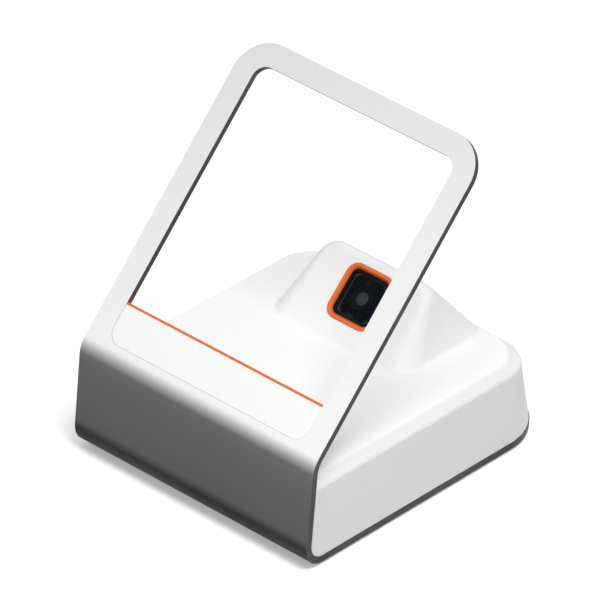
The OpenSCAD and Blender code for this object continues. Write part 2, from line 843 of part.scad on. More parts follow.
module ballast_plate() {
    hole_h = ballast_t + 2 * over;
    color("dimgray") placed() difference() {
        translate([-ballast_w / 2, ballast_y, plate_top]) cube([ballast_w, ballast_len, ballast_t]);
        at_ballast_screws() translate([0, 0, plate_top - over]) cylinder(h = hole_h, r = hole_r);
    }
}

module ballast_screws() {
    color("silver") placed() at_ballast_screws() translate([0, 0, plate_z]) mirror([0, 0, 1])
        sunk_screw(sheet_t + ballast_t - ballast_tip_gap);
}

module housing_screws() {
    color("silver") placed() at_housing_screws() translate([0, 0, plate_z]) mirror([0, 0, 1])
        sunk_screw(sheet_t + housing_screw_len);
}

module rubber_feet() {
    foot_x = frame_w / 2 - foot_inset;
    places = [[foot_x, foot_front_y], [foot_x - rear_foot_shift, base_depth - foot_rear_inset]];
    color("black") placed() both_sides() for (place = places)
        translate(place) cylinder(h = foot_h, r = foot_r);
}

metal_frame();
front_panel();
accent_strip();
panel_tape();
housing();
window_bezel();
scan_window();
window_gasket();
light_shroud();
engine_bracket();
camera_board();
image_sensor();
lens_barrel();
front_lens();
illumination_lights();
engine_screws();
flex_connectors();
flex_cable();
main_board();
processor_shield();
power_parts();
buzzer();
usb_socket();
board_standoffs();
board_screws();
ballast_plate();
ballast_screws();
housing_screws();
rubber_feet();
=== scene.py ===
import itertools
import json
import math

import bmesh
import bpy
import numpy as np
from mathutils import Matrix, Vector
from mathutils.geometry import intersect_point_line


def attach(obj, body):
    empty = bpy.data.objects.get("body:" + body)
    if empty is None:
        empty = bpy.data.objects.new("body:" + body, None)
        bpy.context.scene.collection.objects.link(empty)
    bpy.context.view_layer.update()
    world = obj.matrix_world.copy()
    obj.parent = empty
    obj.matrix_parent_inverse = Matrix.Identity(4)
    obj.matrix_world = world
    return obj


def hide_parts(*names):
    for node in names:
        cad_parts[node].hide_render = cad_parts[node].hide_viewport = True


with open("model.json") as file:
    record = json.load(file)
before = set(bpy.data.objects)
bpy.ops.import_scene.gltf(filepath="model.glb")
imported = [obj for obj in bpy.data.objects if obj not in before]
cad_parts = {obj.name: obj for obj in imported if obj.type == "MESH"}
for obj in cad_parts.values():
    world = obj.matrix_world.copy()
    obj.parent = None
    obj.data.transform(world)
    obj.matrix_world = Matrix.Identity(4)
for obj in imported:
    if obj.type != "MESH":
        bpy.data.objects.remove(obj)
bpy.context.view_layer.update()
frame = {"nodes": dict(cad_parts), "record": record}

MM = 0.001

# Camera: a long lens, seen from the front right and rolled a little
VIEW_AZIMUTH = math.radians(38.2)
VIEW_ELEVATION = math.radians(31.98)
VIEW_ROLL = math.radians(4.79)
VIEW_DISTANCE = 2.433
VIEW_TARGET = Vector((0.0, -0.015, 0.051))
VIEW_OFFSET = (0.00026, 0.00714)
VIEW_LENS = 449.9
SENSOR_WIDTH = 36.0
VIEW_CLIP = (0.1, 20.0)

# Sizes of the housing and the sheet in millimetres, with y counted from the front wall
FRONT_SHIFT = 65.0
PLATE_TOP = 3.5
BODY_FRONT = 2.6
LOW_EDGE_R = 6.4
# How far a cutter or a hidden end runs on past its piece
OVER = 1.0
WALL_FOOT = dict(z=3.5, half=49.8, rear=129.8, corner=25.0)
SHOULDER = dict(z=30.2, half=49.0, rear=117.8, corner=16.5)
DECK = dict(z=34.5, half=46.4, rear=112.2, corner=15.0)
SHOULDER_R = 2.0
DECK_EDGE_R = 1.4
FRONT_EDGE_R = 1.5
WALL = 2.2
SILL_REAR = 12.0
BOSS_R = 3.0
BOSS_PLACES = [(x, y) for x in (-41.5, 41.5) for y in (31.0, 94.0)]
ENGINE_BOSS_R = 2.4
ENGINE_BOSS_X = 14.5
ENGINE_BOSS_DEPTH = 9.0
BOSS_HOLE_R = 1.05
BOSS_HOLE_DEPTH = 9.5
# Small roundings: at hidden ends, on the wall's rim, and where bosses and sill meet the wall
HIDDEN_EDGE_R = 0.05
RIM_R = 0.1
BOSS_END_R = 0.2
SILL_COVE_R = 0.3
BOSS_COVE_R = 0.4
# Height from which the head counts: below it its planes would stand out of the rear wall
HEAD_FLOOR = 31.0
# The foot of the head's face, the face's tilt, and the lean of the sides as run over rise
HEAD_Y = 69.0
HEAD_TILT = math.radians(47.0)
HEAD_HALF = 29.5
HEAD_DRAFT = 0.33
HEAD_EDGE_R = 4.0
HEAD_FOOT_R = 9.0
HEAD_CORNER_R = 7.0
FACE_LEN = 27.8
COVE_R = 2.2
# The window's middle, counted up the face
WINDOW_S = 17.5
BEZEL_HALF = (9.5, 10.15)
BEZEL_R = 4.2
BEZEL_MIN_R = 0.4
# The bezel's cross-section as inset from its outer edge and height above the face
BEZEL_ROWS = ((0.0, -1.5), (0.0, 0.15), (0.1, 0.32), (0.3, 0.4), (0.85, 0.4), (1.05, 0.33),
              (1.15, 0.2), (1.65, -0.6), (1.75, -0.8), (1.8, -1.5))
BEZEL_GAP = 0.1
POCKET = 1.5
OPENING_HALF = (6.4, 7.05)
OPENING_R = 2.3
PORT_Y = 120.0
PORT_Z = 11.73
PORT_LEN = 12.0
PORT_HALF = (6.5, 3.6)
PORT_R = 3.1
# The ring's tilt, the height at which it would meet the front wall, and the bend's run up it
RING_TILT = math.radians(48.9)
RING_Z = 40.8
BEND_REACH = 3.75
# The sheet's grey by height, painted shade and painted highlight: near-black on the lower bend and
# dark on the front wall as painted shade, brightest at the ring's bend as a painted highlight, and
# darker towards the ring's top as painted shade where the light falls off
SHEET_TOP = 129.0
SHEET_PAINTED_SHADE_AND_HIGHLIGHT = ((0.0, 0.014), (9.0, 0.015), (12.5, 0.15), (34.0, 0.19), (38.0, 0.21),
               (40.5, 0.5), (43.0, 0.93), (60.0, 0.89), (SHEET_TOP, 0.69))

# How the housing's form is turned into a mesh

# Limit on the cosine between two faces; no edge is rounded between faces more opposed than that
OPPOSED = 0.98
TINY = 1e-9
# The net's first corner, off every flat face of the form
NET_START = (-51.43, 0.44, 0.37)
NET_END = (51.5, 132.5, DECK["z"] + FACE_LEN)
NET_STEP = 1.0
NET_PASSES = 8
NET_FLAT_ANGLE = math.radians(0.2)
# Distances in metres under which an edge has no length and two corners are one
NO_LENGTH = 1e-6
SEAM = 2e-6
# Area in square metres from which a face is shaded flat
LARGE_FACE = 20e-6
# Distance in millimetres within which a corner lies on the outside
ON_SKIN = 0.01
# Cosine from which the form's direction is bent to that of a large face
SAME_WAY = 0.97
# Cosine below which a corner keeps its face's direction
SAME_SIDE = 0.6

# Light: an even sky and one broad soft box, together near one on a level surface

# The sky's level in front of the part and behind it
SKY_LEVELS = (0.46, 0.43)
LAMP_PLACE = (0.25, -0.165, 0.68)
LAMP_SIZE = 0.42
LAMP_POWER = 3.9
# The floor's tone for the light it gives back, and the light of its own that the camera sees
FLOOR_BOUNCE = 0.45
FLOOR_LIFT = 0.3
FLOOR_HALF = 6.0


def add_camera():
    """The camera at the view's angle, turned about its own line of sight."""
    back = Vector((math.sin(VIEW_AZIMUTH) * math.cos(VIEW_ELEVATION),
                   -math.cos(VIEW_AZIMUTH) * math.cos(VIEW_ELEVATION), math.sin(VIEW_ELEVATION)))
    level = Vector((0, 0, 1)).cross(back).normalized()
    upright = back.cross(level)
    right = math.cos(VIEW_ROLL) * level + math.sin(VIEW_ROLL) * upright
    up = back.cross(right)
    data = bpy.data.cameras.new("camera")
    data.lens = VIEW_LENS
    data.sensor_width = SENSOR_WIDTH
    data.clip_start, data.clip_end = VIEW_CLIP
    camera = bpy.data.objects.new("camera", data)
    place = VIEW_TARGET + back * VIEW_DISTANCE + right * VIEW_OFFSET[0] + up * VIEW_OFFSET[1]
    turn = Matrix((right, up, back)).transposed()
    camera.matrix_world = Matrix.Translation(place) @ turn.to_4x4()
    bpy.context.scene.collection.objects.link(camera)
    bpy.context.scene.camera = camera


# The housing as a solid given by its distance, so that its edges and cove are true arcs

def plane(points, through, normal):
    """Distance to a half space and the direction out of it."""
    normal = np.array(normal) / np.linalg.norm(normal)
    return (points - np.array(through)) @ normal, np.broadcast_to(normal, points.shape)


def meet(first, second, radius):
    """What two solids share, with the edge between them rounded."""
    (da, na), (db, nb) = first, second
    facing = np.sum(na * nb, axis=-1)
    cosine = np.clip(facing, -OPPOSED, OPPOSED)
    spread = 1 - cosine ** 2
    wa = (da + radius - cosine * (db + radius)) / spread
    wb = (db + radius - cosine * (da + radius)) / spread
    lean = wa[..., None] * na + wb[..., None] * nb
    reach = np.maximum(np.linalg.norm(lean, axis=-1), TINY)
    rounded = (wa > 0) & (wb > 0) & (facing > -OPPOSED)
    distance = np.where(rounded, reach - radius, np.maximum(da, db))
    flat = np.where((da > db)[..., None], na, nb)
    return distance, np.where(rounded[..., None], lean / reach[..., None], flat)


def fuse(first, second, radius):
    """Two solids together, with a cove between them."""
    distance, normal = meet((-first[0], -first[1]), (-second[0], -second[1]), radius)
    return -distance, -normal


def drafted_wall(points, low, high):
    """A wall with rounded rear corners that leans inwards between two heights."""
    x, y, z = np.abs(points[..., 0]), points[..., 1], points[..., 2]
    rise = high["z"] - low["z"]
    share = (z - low["z"]) / rise
    inner_x = [level["half"] - level["corner"] for level in (low, high)]
    inner_y = [level["rear"] - level["corner"] for level in (low, high)]
    corner = [level["corner"] for level in (low, high)]
    qx = x - (inner_x[0] + share * (inner_x[1] - inner_x[0]))
    qy = y - (inner_y[0] + share * (inner_y[1] - inner_y[0]))
    radius = corner[0] + share * (corner[1] - corner[0])
    both = (qx > 0) & (qy > 0)
    length = np.maximum(np.hypot(qx, qy), TINY)
    nx = np.where(both, qx / length, np.where(qx > qy, 1.0, 0.0))
    ny = np.where(both, qy / length, np.where(qx > qy, 0.0, 1.0))
    nz = (nx * (inner_x[0] - inner_x[1]) + ny * (inner_y[0] - inner_y[1])
          + corner[0] - corner[1]) / rise
    scale = np.sqrt(1 + nz ** 2)
    distance = (np.where(both, length, np.maximum(qx, qy)) - radius) / scale
    normal = np.stack([nx * np.where(points[..., 0] < 0, -1, 1), ny, nz], axis=-1)
    return distance, normal / scale[..., None]


def head(points):
    """The scanner head: leaning sides, a rear slope and the sloping face."""
    lean = math.atan(HEAD_DRAFT)
    right = plane(points, (HEAD_HALF, 0, DECK["z"]), (math.cos(lean), 0, math.sin(lean)))
    left = plane(points, (-HEAD_HALF, 0, DECK["z"]), (-math.cos(lean), 0, math.sin(lean)))
    side = meet(right, left, HEAD_EDGE_R)
    face = plane(points, (0, HEAD_Y, DECK["z"]), (0, -math.sin(HEAD_TILT), math.cos(HEAD_TILT)))
    top_y = HEAD_Y + FACE_LEN * math.cos(HEAD_TILT) + HEAD_EDGE_R * math.sin(HEAD_TILT)
    rise = FACE_LEN * math.sin(HEAD_TILT) - HEAD_EDGE_R * math.cos(HEAD_TILT)
    run = DECK["rear"] - top_y
    tilt = math.atan2(rise, run) + math.asin(HEAD_EDGE_R / math.hypot(rise, run))
    rear = plane(points, (0, DECK["rear"], DECK["z"]), (0, math.sin(tilt), math.cos(tilt)))
    climb = np.clip((points[..., 2] - DECK["z"]) / rise, 0, 1)
    edge_r = HEAD_FOOT_R + climb * (HEAD_EDGE_R - HEAD_FOOT_R)
    return meet(meet(side, rear, HEAD_CORNER_R), face, edge_r)


def housing_form(points):
    """The outside of the housing without its underside."""
    walls = meet(drafted_wall(points, WALL_FOOT, SHOULDER), drafted_wall(points, SHOULDER, DECK),
                 SHOULDER_R)
    body = meet(walls, plane(points, (0, 0, DECK["z"]), (0, 0, 1)), DECK_EDGE_R)
    body = meet(body, plane(points, (0, BODY_FRONT, 0), (0, -1, 0)), FRONT_EDGE_R)
    whole = fuse(body, head(points), COVE_R)
    below = points[..., 2] < HEAD_FLOOR
    return np.where(below, body[0], whole[0]), np.where(below[..., None], body[1], whole[1])


def heel(points):
    """What lies above the base plate and behind the front wall, clear of the sheet's bend."""
    return meet(plane(points, (0, BODY_FRONT, 0), (0, -1, 0)),
                plane(points, (0, 0, PLATE_TOP), (0, 0, -1)), LOW_EDGE_R)


def outer_skin(points):
    """The housing's outside, run on into the base plate, where it is cut off."""
    end = plane(points, (0, 0, PLATE_TOP - OVER), (0, 0, -1))
    return meet(housing_form(points), end, HIDDEN_EDGE_R)


def bar(points, foot, axis, radius):
    """Distance to an endless round bar and the direction out of it."""
    axis = np.array(axis)
    offset = points - np.array(foot)
    across = offset - (offset @ axis)[..., None] * axis
    length = np.maximum(np.linalg.norm(across, axis=-1), TINY)
    return length - radius, across / length[..., None]


def outside(solid):
    """What lies outside a solid."""
    return -solid[0], -solid[1]


def face_point(x, along, depth):
    """A point under the head's face, given along the face and down from it."""
    return (x, HEAD_Y + along * math.cos(HEAD_TILT) + depth * math.sin(HEAD_TILT),
            DECK["z"] + along * math.sin(HEAD_TILT) - depth * math.cos(HEAD_TILT))


def around_bosses(points, room):
    """The room without the screw bosses that stand in it."""
    for x, y in BOSS_PLACES:
        room = meet(room, outside(bar(points, (x, y, 0), (0, 0, 1), BOSS_R)), BOSS_COVE_R)
    out = (0, -math.sin(HEAD_TILT), math.cos(HEAD_TILT))
    end = plane(points, face_point(0, WINDOW_S, ENGINE_BOSS_DEPTH), [-c for c in out])
    for x in (-ENGINE_BOSS_X, ENGINE_BOSS_X):
        post = bar(points, face_point(x, WINDOW_S, 0), out, ENGINE_BOSS_R)
        room = meet(room, outside(meet(post, end, BOSS_END_R)), BOSS_COVE_R)
    return room


def cavity_form(points):
    """The room inside the housing: open at the base plate, with bosses for the screws."""
    distance, normal = housing_form(points)
    heel_distance, heel_normal = heel(points)
    low = plane(points, (0, 0, PLATE_TOP - 2 * OVER), (0, 0, -1))
    behind_sill = plane(points, (0, SILL_REAR, 0), (0, -1, 0))
    front = fuse((heel_distance + WALL, heel_normal), behind_sill, SILL_COVE_R)
    room = meet((distance + WALL, normal), low, HIDDEN_EDGE_R)
    return around_bosses(points, meet(room, front, HIDDEN_EDGE_R))


def shell_form(points):
    """The housing's wall with its bosses, before its openings are cut."""
    return meet(outer_skin(points), outside(cavity_form(points)), RIM_R)


def count_inside(inside):
    """How many of each cell's eight corners lie inside."""
    count = np.zeros([n - 1 for n in inside.shape], dtype=int)
    nx, ny, nz = count.shape
    for i, j, k in itertools.product((0, 1), repeat=3):
        count += inside[i:i + nx, j:j + ny, k:k + nz]
    return count


def crossing_quads(inside, index, axis):
    """A quad round each of the grid's edges along an axis that crosses the surface."""
    u, v = (axis + 1) % 3, (axis + 2) % 3
    here = np.swapaxes(inside, 0, axis)
    change = np.swapaxes(here[1:] != here[:-1], 0, axis)
    starts = np.argwhere(change)
    starts = starts[(starts[:, u] > 0) & (starts[:, v] > 0)]
    starts = starts[(starts[:, u] < inside.shape[u] - 1) & (starts[:, v] < inside.shape[v] - 1)]
    ring = []
    for du, dv in ((1, 1), (0, 1), (0, 0), (1, 0)):
        cell = starts.copy()
        cell[:, u] -= du
        cell[:, v] -= dv
        ring.append(index[tuple(cell.T)])
    ring = np.stack(ring, axis=1)
    outward = inside[tuple(starts.T)]
    return np.where(outward[:, None], ring, ring[:, ::-1])


def net_surface(form, low, high, step):
    """A mesh of quads laid on the surface of a form, every corner on it."""
    axes = [np.arange(a, b + step, step) for a, b in zip(low, high)]
    grid = np.stack(np.meshgrid(*axes, indexing="ij"), axis=-1)
    inside = form(grid)[0] < 0
    count = count_inside(inside)
    active = (count > 0) & (count < 8)
    index = np.full(count.shape, -1)
    index[active] = np.arange(active.sum())
    points = np.array(low) + (np.argwhere(active) + 0.5) * step
    for _ in range(NET_PASSES):
        distance, normal = form(points)
        points = points - np.clip(distance, -step, step)[:, None] * normal
    return points, np.concatenate([crossing_quads(inside, index, axis) for axis in range(3)])


def to_part(points):
    """From millimetres behind the front wall to the part's frame."""
    return (points - np.array([0, FRONT_SHIFT, 0])) * MM


def link(name, mesh):
    """A new object in the scene."""
    piece = bpy.data.objects.new(name, mesh)
    bpy.context.scene.collection.objects.link(piece)
    return piece


def mesh_of(name, points, faces):
    """A mesh of corner points and of faces given by their corners' numbers."""
    mesh = bpy.data.meshes.new(name)
    mesh.from_pydata([tuple(p) for p in points], [], [tuple(int(i) for i in f) for f in faces])
    mesh.update()
    return mesh


def smooth_net(name, form):
    """The net of a form as an object, its flat stretches joined to single faces."""
    points, quads = net_surface(form, NET_START, NET_END, NET_STEP)
    mesh = mesh_of(name, to_part(points), quads)
    bm = bmesh.new()
    bm.from_mesh(mesh)
    bmesh.ops.dissolve_degenerate(bm, dist=NO_LENGTH, edges=bm.edges)
    bmesh.ops.dissolve_limit(bm, angle_limit=NET_FLAT_ANGLE, verts=bm.verts, edges=bm.edges)
    bm.to_mesh(mesh)
    bm.free()
    return link(name, mesh)


def rounded_outline(half, radius, turns=12):
    """Corner points of a rounded rectangle about the centre."""
    points = []
    for sx, sy, start in ((1, 1, 0), (-1, 1, 90), (-1, -1, 180), (1, -1, 270)):
        for k in range(turns + 1):
            turn = math.radians(start + 90 * k / turns)
            points.append((sx * (half[0] - radius) + radius * math.cos(turn),
                           sy * (half[1] - radius) + radius * math.sin(turn)))
    return points


def cut(piece, cutters):
    """Takes the volume of cutters that stand apart out of a piece and deletes them."""
    for k, cutter in enumerate(cutters):
        trim = piece.modifiers.new("cut_%d" % k, "BOOLEAN")
        trim.operation = "DIFFERENCE"
        trim.solver = "EXACT"
        trim.object = cutter
    scene_graph = bpy.context.evaluated_depsgraph_get()
    mesh = bpy.data.meshes.new_from_object(piece.evaluated_get(scene_graph))
    piece.modifiers.clear()
    old = piece.data
    piece.data = mesh
    bpy.data.meshes.remove(old)
    for cutter in cutters:
        bpy.data.objects.remove(cutter)


def split_at_corner(edge, corners):
    """Splits an edge at a corner that lies on it and gives the new corner, or else nothing."""
    start, end = edge.verts
    for corner in corners:
        foot, share = intersect_point_line(corner.co, start.co, end.co)
        on_edge = 0 < share < 1 and (foot - corner.co).length < SEAM
        if on_edge and corner not in (start, end):
            return [bmesh.utils.edge_split(edge, start, share)[1]]
    return []


def close_seams(mesh):
    """Welds each open edge to the corner that lies on it."""
    bm = bmesh.new()
    bm.from_mesh(mesh)
    seams = [e for e in bm.edges if len(e.link_faces) == 1]
    # A fixed order, so that each run gives the same mesh
    corners = sorted({v for e in seams for v in e.verts}, key=lambda v: v.index)
    for edge in seams:
        corners += split_at_corner(edge, corners)
    bmesh.ops.remove_doubles(bm, verts=corners, dist=SEAM)
    bm.to_mesh(mesh)
    bm.free()


def face_place():
    """The frame of the head's face: y up the slope, z out of it, origin at the window's centre."""
    foot = Vector((0, (HEAD_Y - FRONT_SHIFT) * MM, DECK["z"] * MM))
    turn = Matrix.Rotation(HEAD_TILT, 4, "X")
    return Matrix.Translation(foot) @ turn @ Matrix.Translation((0, WINDOW_S * MM, 0))


def port_place():
    """The frame of the cable port: z out of the rear."""
    turn = Matrix.Rotation(math.radians(-90), 4, "X")
    return Matrix.Translation((0, (PORT_Y - FRONT_SHIFT) * MM, PORT_Z * MM)) @ turn


def shade_by_form(mesh):
    """Gives the corners on the outside the form's own direction, so that no facet shows."""
    count = len(mesh.vertices)
    places = np.empty(count * 3)
    mesh.vertices.foreach_get("co", places)
    places = places.reshape(-1, 3) / MM + np.array([0, FRONT_SHIFT, 0])
    distance, normal = outer_skin(places)
    on_skin = np.abs(distance) < ON_SKIN
    for face in mesh.polygons:
        if face.area > LARGE_FACE:
            own = np.array(face.normal)
            for vertex in face.vertices:
                if normal[vertex] @ own > SAME_WAY:
                    normal[vertex] = own
    mesh.polygons.foreach_set("use_smooth", [True] * len(mesh.polygons))
    corners = np.zeros((len(mesh.loops), 3))
    for face in mesh.polygons:
        own = np.array(face.normal)
        for loop in face.loop_indices:
            vertex = mesh.loops[loop].vertex_index
            fits = (face.area < LARGE_FACE and on_skin[vertex]
                    and normal[vertex] @ own > SAME_SIDE)
            corners[loop] = normal[vertex] if fits else own
    mesh.normals_split_custom_set([tuple(c) for c in corners])


def heel_outline(turns=16):
    """The side view of the base plate and of the sheet's lower bend, in y and z."""
    arc = [math.radians(90 * k / turns) for k in range(turns + 1)]
    bend = [(BODY_FRONT + LOW_EDGE_R * (1 - math.sin(a)), PLATE_TOP + LOW_EDGE_R * (1 - math.cos(a)))
            for a in arc]
    rear = WALL_FOOT["rear"] + OVER
    return [(0, 0), (rear, 0), (rear, PLATE_TOP)] + bend + [(0, PLATE_TOP + LOW_EDGE_R)]


def heel_place():
    """The frame of the part's side view: y to the rear, z up, extruded to the right."""
    turn = Matrix(((0, 0, 1), (1, 0, 0), (0, 1, 0))).to_4x4()
    return Matrix.Translation((0, -FRONT_SHIFT * MM, 0)) @ turn


def circle(radius):
    """Corner points of a circle about the centre."""
    return rounded_outline((radius, radius), radius, turns=6)


def prisms(name, parts):
    """Several prisms that stand apart, as one object."""
    points, faces = [], []
    for outline, low, high, place in parts:
        start, count = len(points), len(outline)
        points += [place @ Vector((x * MM, y * MM, z * MM)) for z in (low, high) for x, y in outline]
        faces += [list(range(start, start + count))[::-1],
                  list(range(start + count, start + 2 * count))]
        faces += [[start + k, start + (k + 1) % count, start + count + (k + 1) % count,
                   start + count + k] for k in range(count)]
    return link(name, mesh_of(name, points, faces))


def outer_cutter(face):
    """What is cut from the housing's outside: the bezel's pocket, the heel and the base."""
    half = [h + BEZEL_GAP for h in BEZEL_HALF]
    pocket = (rounded_outline(half, BEZEL_R + BEZEL_GAP), -POCKET, OVER, face)
    side = WALL_FOOT["half"] + OVER
    return prisms("outer_cuts", [pocket, (heel_outline(), -side, side, heel_place())])


def opening_cutter(face):
    """The window's opening, the cable port and the holes in the screw bosses."""
    parts = [(rounded_outline(OPENING_HALF, OPENING_R), -WALL - OVER, OVER, face),
             (rounded_outline(PORT_HALF, PORT_R), 0.0, PORT_LEN, port_place())]
    hole = circle(BOSS_HOLE_R)
    for x, y in BOSS_PLACES:
        foot = Matrix.Translation((x * MM, (y - FRONT_SHIFT) * MM, PLATE_TOP * MM))
        parts.append((hole, -OVER, BOSS_HOLE_DEPTH, foot))
    for x in (-ENGINE_BOSS_X, ENGINE_BOSS_X):
        beside = face @ Matrix.Translation((x * MM, 0, 0))
        parts.append((hole, -ENGINE_BOSS_DEPTH - OVER, -WALL, beside))
    return prisms("openings", parts)


def add_housing():
    """The housing's wall with its openings, shaded by its form."""
    skin = smooth_net("housing_skin", shell_form)
    face = face_place()
    cut(skin, [outer_cutter(face), opening_cutter(face)])
    close_seams(skin.data)
    shade_by_form(skin.data)
    return skin


# Materials: each is a procedural finish with grain, colour variation and, on most, worn edges

# The colour sockets of a Mix node: its two inputs and its result
MIX_FIRST = 6
MIX_SECOND = 7
MIX_RESULT = 2
# The noise of the patches in a finish, in features along a metre
PATCH_SCALE = 45.0
PATCH_DETAIL = 2.0
# The part of a noise's range that is spread out, for grain and for patches
GRAIN_SPAN = (0.35, 0.65)
PATCH_SPAN = (0.3, 0.7)
# How far the patches take the roughness down and up
ROUGH_SHARES = (0.85, 1.15)
RELIEF_STRENGTH = 0.5
# The width of a worn edge in metres, and the cosines between which it fades in
WORN_EDGE = 0.0003
WORN_COSINES = (0.995, 0.8)
BEVEL_SAMPLES = 4
SHEET_GRAIN = 2600.0
SHEET_SPECKLE = 0.95
# The factor on the sheet's painted shade and highlight by height, the roughness and the gloss of the
# sheet's two blasted finishes; roughness and gloss are the metal's own, and the higher factor on the
# roundings is a painted highlight
SHEET_FINISHES = {"sheet_metal": (1.0, 0.45, 0.12), "sheet_bevel_painted_highlight": (1.08, 0.35, 0.5)}
FINISHES = {
    # The sheet's cut edges: near-black as painted shade
    "sheet_edge_painted_shade": dict(colour=(0.038, 0.038, 0.039), roughness=0.5, grain=2200.0, tint=0.15,
                       bump=0.00003, gloss=0.25),
    "panel_white": dict(colour=(0.955, 0.955, 0.955), roughness=0.28, grain=900.0, tint=0.005,
                        bump=0.000004, coat=0.15),
    "accent_orange": dict(colour=(0.80, 0.155, 0.018), roughness=0.4, grain=1800.0, tint=0.05,
                          bump=0.000008, worn=(0.86, 0.24, 0.05)),
    "tape": dict(colour=(0.03, 0.03, 0.03), roughness=0.9, grain=3000.0, bump=0.00006),
    "housing_white": dict(colour=(0.9, 0.9, 0.9), roughness=0.5, grain=3200.0, tint=0.008,
                          bump=0.000008, worn=(0.93, 0.93, 0.93), gloss=0.3),
    "window_dark": dict(colour=(0.006, 0.009, 0.014), roughness=0.1, grain=400.0, tint=0.1,
                        bump=0.0, gloss=0.04, alpha=0.5),
    "soft_black": dict(colour=(0.018, 0.018, 0.018), roughness=0.85, grain=2400.0, tint=0.2,
                       bump=0.00006, worn=(0.05, 0.05, 0.05)),
    "black_plastic": dict(colour=(0.012, 0.012, 0.013), roughness=0.55, grain=2600.0, tint=0.15,
                          worn=(0.04, 0.04, 0.04)),
    "grey_plastic": dict(colour=(0.06, 0.06, 0.063), roughness=0.6, grain=2600.0,
                         worn=(0.12, 0.12, 0.12)),
    "board_green": dict(colour=(0.012, 0.10, 0.035), roughness=0.35, grain=1200.0, tint=0.25,
                        bump=0.00001, worn=(0.35, 0.33, 0.18), coat=0.3),
    "chip_dark": dict(colour=(0.02, 0.024, 0.035), roughness=0.25, grain=4000.0, tint=0.2),
    "lens_glass": dict(colour=(0.62, 0.62, 0.62), roughness=0.12, grain=300.0, tint=0.05,
                       bump=0.0, coat=0.5),
    "light_cream": dict(colour=(0.80, 0.68, 0.25), roughness=0.3, grain=3000.0, tint=0.1),
    "steel": dict(colour=(0.55, 0.55, 0.56), roughness=0.32, grain=3500.0, tint=0.08,
                  bump=0.000015, metallic=1.0, worn=(0.8, 0.8, 0.8)),
    "connector_ivory": dict(colour=(0.66, 0.62, 0.48), roughness=0.5, grain=2500.0,
                            worn=(0.75, 0.72, 0.6)),
    "flex_amber": dict(colour=(0.50, 0.16, 0.015), roughness=0.25, grain=700.0, tint=0.2,
                       coat=0.4),
    "parts_brown": dict(colour=(0.10, 0.045, 0.018), roughness=0.5, grain=3000.0, tint=0.2,
                        worn=(0.2, 0.1, 0.05)),
    "brass_slot": dict(colour=(0.62, 0.42, 0.14), roughness=0.3, grain=3000.0, tint=0.1,
                       metallic=1.0, worn=(0.85, 0.66, 0.3)),
    "ballast_steel": dict(colour=(0.16, 0.16, 0.165), roughness=0.55, grain=900.0, tint=0.25,
                          bump=0.00005, metallic=0.9, worn=(0.4, 0.4, 0.4)),
}


def link_nodes(tree, source, output, target, socket):
    """Joins an output of one node to a socket of another."""
    tree.links.new(source.outputs[output], target.inputs[socket])


def add_noise(tree, coords, scale, detail=3.0):
    """Three-dimensional noise; the scale counts features along a metre."""
    noise = tree.nodes.new("ShaderNodeTexNoise")
    noise.inputs["Scale"].default_value = scale
    noise.inputs["Detail"].default_value = detail
    link_nodes(tree, coords, "Object", noise, "Vector")
    return noise


def add_range(tree, source, output, low, high, to_low, to_high):
    """Maps a value from one range to another with a soft start and end."""
    spread = tree.nodes.new("ShaderNodeMapRange")
    spread.interpolation_type = "SMOOTHSTEP"
    for socket, value in zip(("From Min", "From Max", "To Min", "To Max"),
                             (low, high, to_low, to_high)):
        spread.inputs[socket].default_value = value
    link_nodes(tree, source, output, spread, "Value")
    return spread


def add_mix(tree, first, second, share):
    """Mixes two colours, each a tuple or another Mix node, by a node's value."""
    mix = tree.nodes.new("ShaderNodeMix")
    mix.data_type = "RGBA"
    for socket, colour in ((MIX_FIRST, first), (MIX_SECOND, second)):
        if isinstance(colour, tuple):
            mix.inputs[socket].default_value = (*colour, 1)
        else:
            link_nodes(tree, colour, MIX_RESULT, mix, socket)
    link_nodes(tree, share, 0, mix, 0)
    return mix


def add_fade(tree, source, span):
    """Nought to one over a span of a noise's range."""
    return add_range(tree, source, "Fac", *span, 0.0, 1.0)


def edge_mask(tree):
    """One along edges, within the width of a worn edge, and nought on open faces."""
    bevel = tree.nodes.new("ShaderNodeBevel")
    bevel.samples = BEVEL_SAMPLES
    bevel.inputs["Radius"].default_value = WORN_EDGE
    shape = tree.nodes.new("ShaderNodeNewGeometry")
    match = tree.nodes.new("ShaderNodeVectorMath")
    match.operation = "DOT_PRODUCT"
    link_nodes(tree, bevel, "Normal", match, 0)
    link_nodes(tree, shape, "Normal", match, 1)
    return add_range(tree, match, "Value", *WORN_COSINES, 0.0, 1.0)


def add_relief(tree, shader, height, distance):
    """Raises the surface by a noise, by a distance in metres."""
    relief = tree.nodes.new("ShaderNodeBump")
    relief.inputs["Strength"].default_value = RELIEF_STRENGTH
    relief.inputs["Distance"].default_value = distance
    link_nodes(tree, height, "Fac", relief, "Height")
    link_nodes(tree, relief, "Normal", shader, "Normal")


